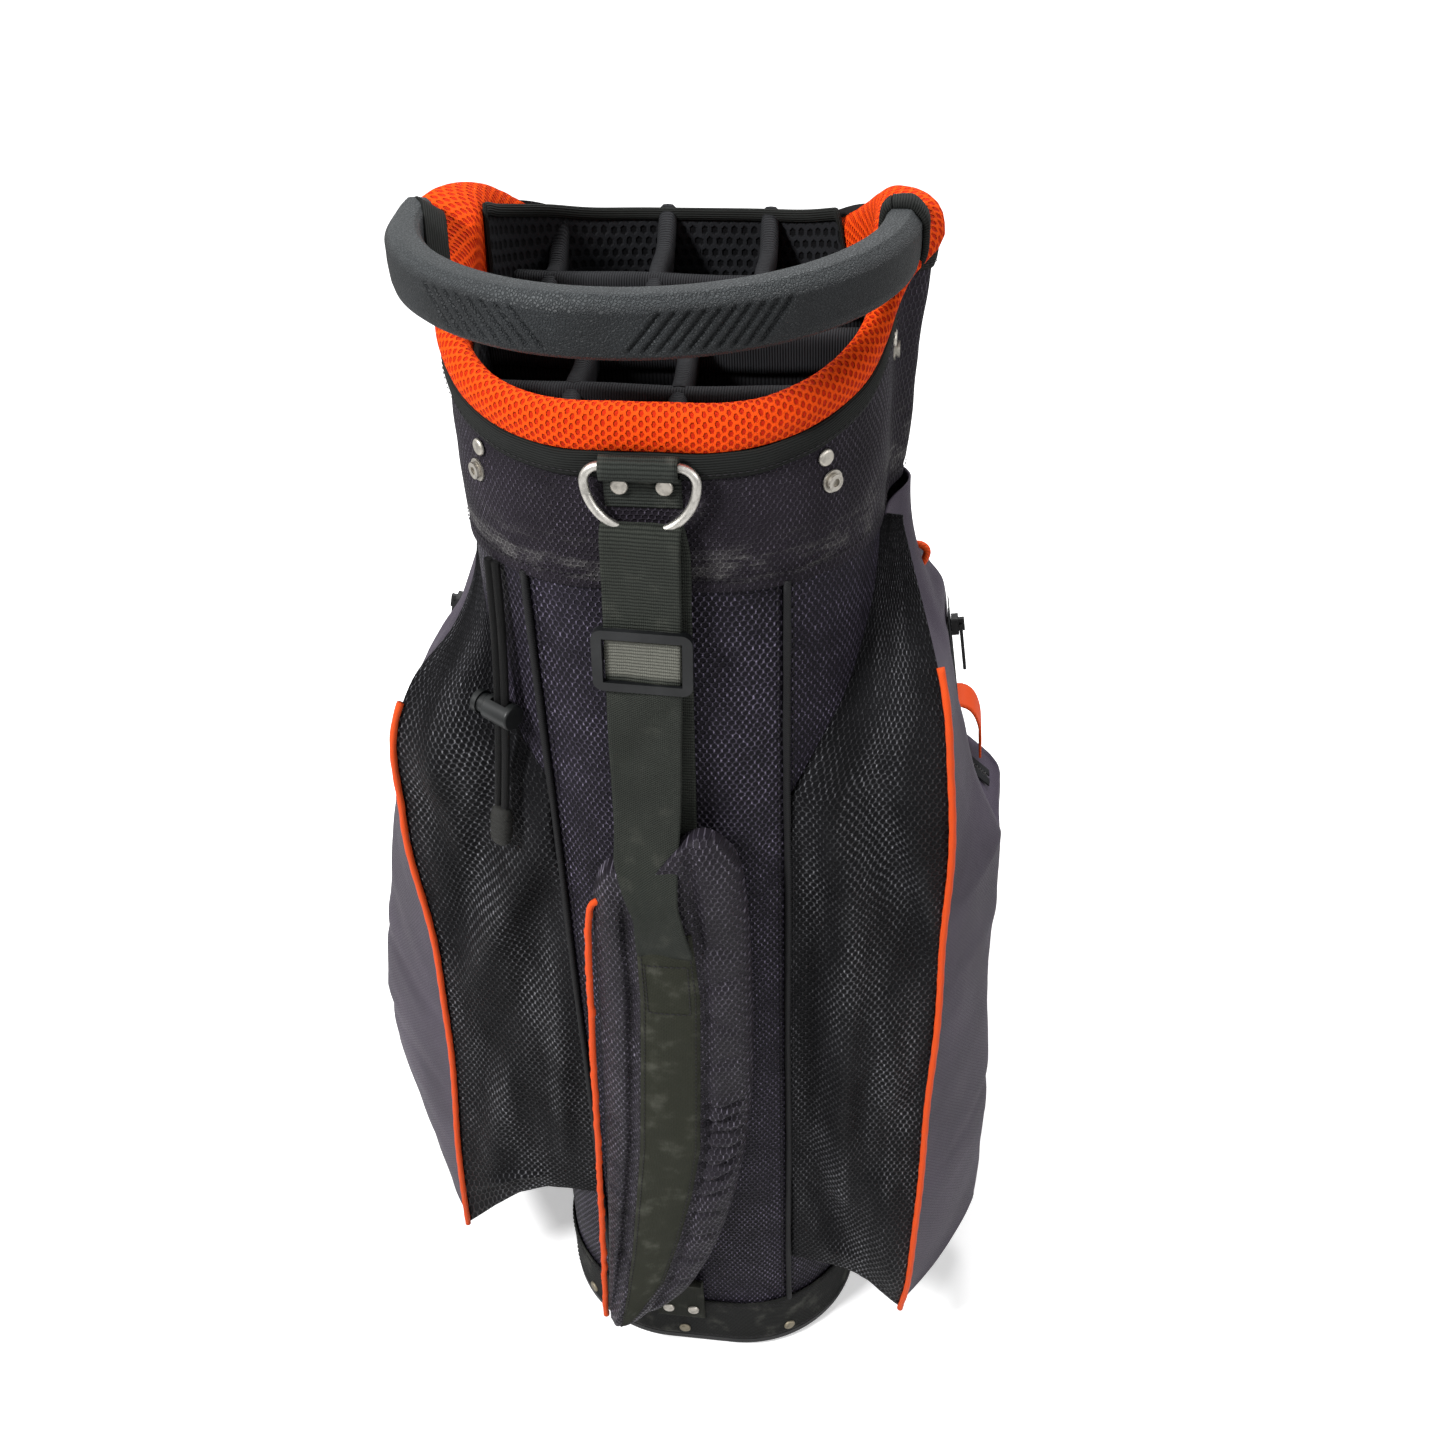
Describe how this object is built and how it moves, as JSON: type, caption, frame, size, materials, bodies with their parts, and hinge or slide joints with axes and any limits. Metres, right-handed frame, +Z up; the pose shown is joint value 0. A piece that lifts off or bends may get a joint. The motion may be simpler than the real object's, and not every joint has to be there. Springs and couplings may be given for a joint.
{
  "type": "golf cart bag",
  "caption": "Golf cart bag: a padded tube with a divided top, moulded handle, side and front pockets, strap on a D ring and umbrella cord.",
  "frame": {"origin": "middle of the base, on the ground under the feet", "axes": "+Z up along the tube, -Y to the spine with the strap, +X to the right side seen from the spine"},
  "size_m": [0.4663, 0.3461, 0.888],
  "materials": {
    "tube_fabric": "matte woven, backed with foam",
    "pocket_mesh": "open hexagon mesh",
    "pocket_fabric": "matte ripstop",
    "orange_mesh": "padded spacer mesh",
    "orange_trim": "piping",
    "webbing": "woven",
    "binding": "ribbed tape",
    "divider_fabric": "brushed knit over foam",
    "sheet_fabric": "matte",
    "rubber": "grained",
    "elastic": "elastic braid",
    "moulded_black": "moulded",
    "gloss_black": "polished",
    "nickel": "satin nickel",
    "aged_brass": "dull"
  },
  "bodies": {
    "bag": {"ball_pocket": "pocket_fabric", "ball_zip": "binding", "base_band": "binding", "base_cup": "moulded_black", "base_feet": "rubber", "base_rivets": "aged_brass", "collar_frame": "moulded_black", "collar_pad": "orange_mesh", "collar_rivets": "nickel", "cord_end_knot": "elastic", "cuff": "tube_fabric", "cuff_binding": "binding", "d_ring_tab": "webbing", "divider_bars": "divider_fabric", "divider_sheets": "sheet_fabric", "front_panel": "tube_fabric", "handle_core": "moulded_black", "handle_grip": "rubber", "handle_lugs": "moulded_black", "handle_screws": "nickel", "left_panel": "tube_fabric", "left_side_pocket": "pocket_mesh", "left_zip": "binding", "pad_piping": "orange_trim", "pad_webbing": "webbing", "pocket_piping": "orange_trim", "pouch_tab": "orange_trim", "pouch_zip": "binding", "right_panel": "tube_fabric", "right_pouch": "pocket_fabric", "right_side_pocket": "pocket_mesh", "right_zip": "binding", "seam_piping": "binding", "shoulder_pad": "tube_fabric", "snap_studs": "nickel", "spine_panel": "tube_fabric", "strap_back_web": "webbing", "strap_front_web": "webbing", "strap_rivets": "nickel", "strap_tail": "webbing", "support_stays": "moulded_black", "umbrella_cord_left": "elastic", "umbrella_cord_right": "elastic", "valuables_pocket": "pocket_fabric", "valuables_zip": "binding"},
    "ring": {"d_ring": "nickel", "strap_loop": "webbing"},
    "strap_adjuster": {"strap_slider": "gloss_black"},
    "cord_lock": {"cord_lock_barrel": "gloss_black"},
    "cord_button": {"cord_lock_plunger": "gloss_black"},
    "right_slider": {"right_zip_slider": "gloss_black"},
    "right_pull": {"right_zip_pull": "gloss_black"},
    "left_slider": {"left_zip_slider": "gloss_black"},
    "left_pull": {"left_zip_pull": "gloss_black"},
    "ball_slider": {"ball_zip_slider": "gloss_black"},
    "ball_pull": {"ball_zip_pull": "gloss_black"},
    "valuables_slider": {"valuables_zip_slider": "gloss_black"},
    "valuables_pull": {"valuables_zip_pull": "gloss_black"},
    "pouch_slider": {"pouch_zip_slider": "gloss_black"},
    "pouch_pull": {"pouch_zip_pull": "gloss_black"}
  },
  "joints": [
    {"name": "ring_swing", "type": "hinge", "parent": "bag", "child": "ring", "pos_m": [0, -0.1246, 0.796], "axis": [-1, 0, 0], "range_deg": [0, 35]},
    {"name": "adjuster_slide", "type": "slide", "parent": "bag", "child": "strap_adjuster", "axis": [-0.0349, 0, -0.9994], "range_m": [-0.022, 0.108]},
    {"name": "lock_slide", "type": "slide", "parent": "bag", "child": "cord_lock", "axis": [-0.0808, -0.0741, -0.994], "range_m": [-0.012, 0.012]},
    {"name": "button_press", "type": "slide", "parent": "cord_lock", "child": "cord_button", "axis": [0.853, -0.5219, 0], "range_m": [0, 0.002], "stiffness_N_per_m": 600, "springref_m": -0.001},
    {"name": "right_zip_run", "type": "slide", "parent": "bag", "child": "right_slider", "axis": [0.1444, 0, -0.9895], "range_m": [0, 0.3277]},
    {"name": "right_pull_swing", "type": "hinge", "parent": "right_slider", "child": "right_pull", "pos_m": [0.17082, 0.051, 0.60128], "axis": [0, -1, 0], "range_deg": [0, 160]},
    {"name": "left_zip_run", "type": "slide", "parent": "bag", "child": "left_slider", "axis": [-0.2364, 0, -0.9717], "range_m": [0, 0.3342]},
    {"name": "left_pull_swing", "type": "hinge", "parent": "left_slider", "child": "left_pull", "pos_m": [-0.17056, 0.051, 0.60223], "axis": [0, 1, 0], "range_deg": [0, 160]},
    {"name": "ball_zip_run", "type": "slide", "parent": "bag", "child": "ball_slider", "axis": [-1, 0, 0], "range_m": [0, 0.094]},
    {"name": "ball_pull_swing", "type": "hinge", "parent": "ball_slider", "child": "ball_pull", "pos_m": [0.048, 0.18303, 0.35058], "axis": [0, -0.0725, 0.9974], "range_deg": [0, 160]},
    {"name": "valuables_zip_run", "type": "slide", "parent": "bag", "child": "valuables_slider", "axis": [-1, 0, 0], "range_m": [0, 0.062]},
    {"name": "valuables_pull_swing", "type": "hinge", "parent": "valuables_slider", "child": "valuables_pull", "pos_m": [0.032, 0.172, 0.61], "axis": [0, 0, 1], "range_deg": [0, 160]},
    {"name": "pouch_zip_run", "type": "slide", "parent": "bag", "child": "pouch_slider", "axis": [0.7431, 0, -0.6691], "range_m": [0, 0.086]},
    {"name": "pouch_pull_swing", "type": "hinge", "parent": "pouch_slider", "child": "pouch_pull", "pos_m": [0.13465, 0.132, 0.48339], "axis": [0, -1, 0], "range_deg": [0, 160]}
  ]
}
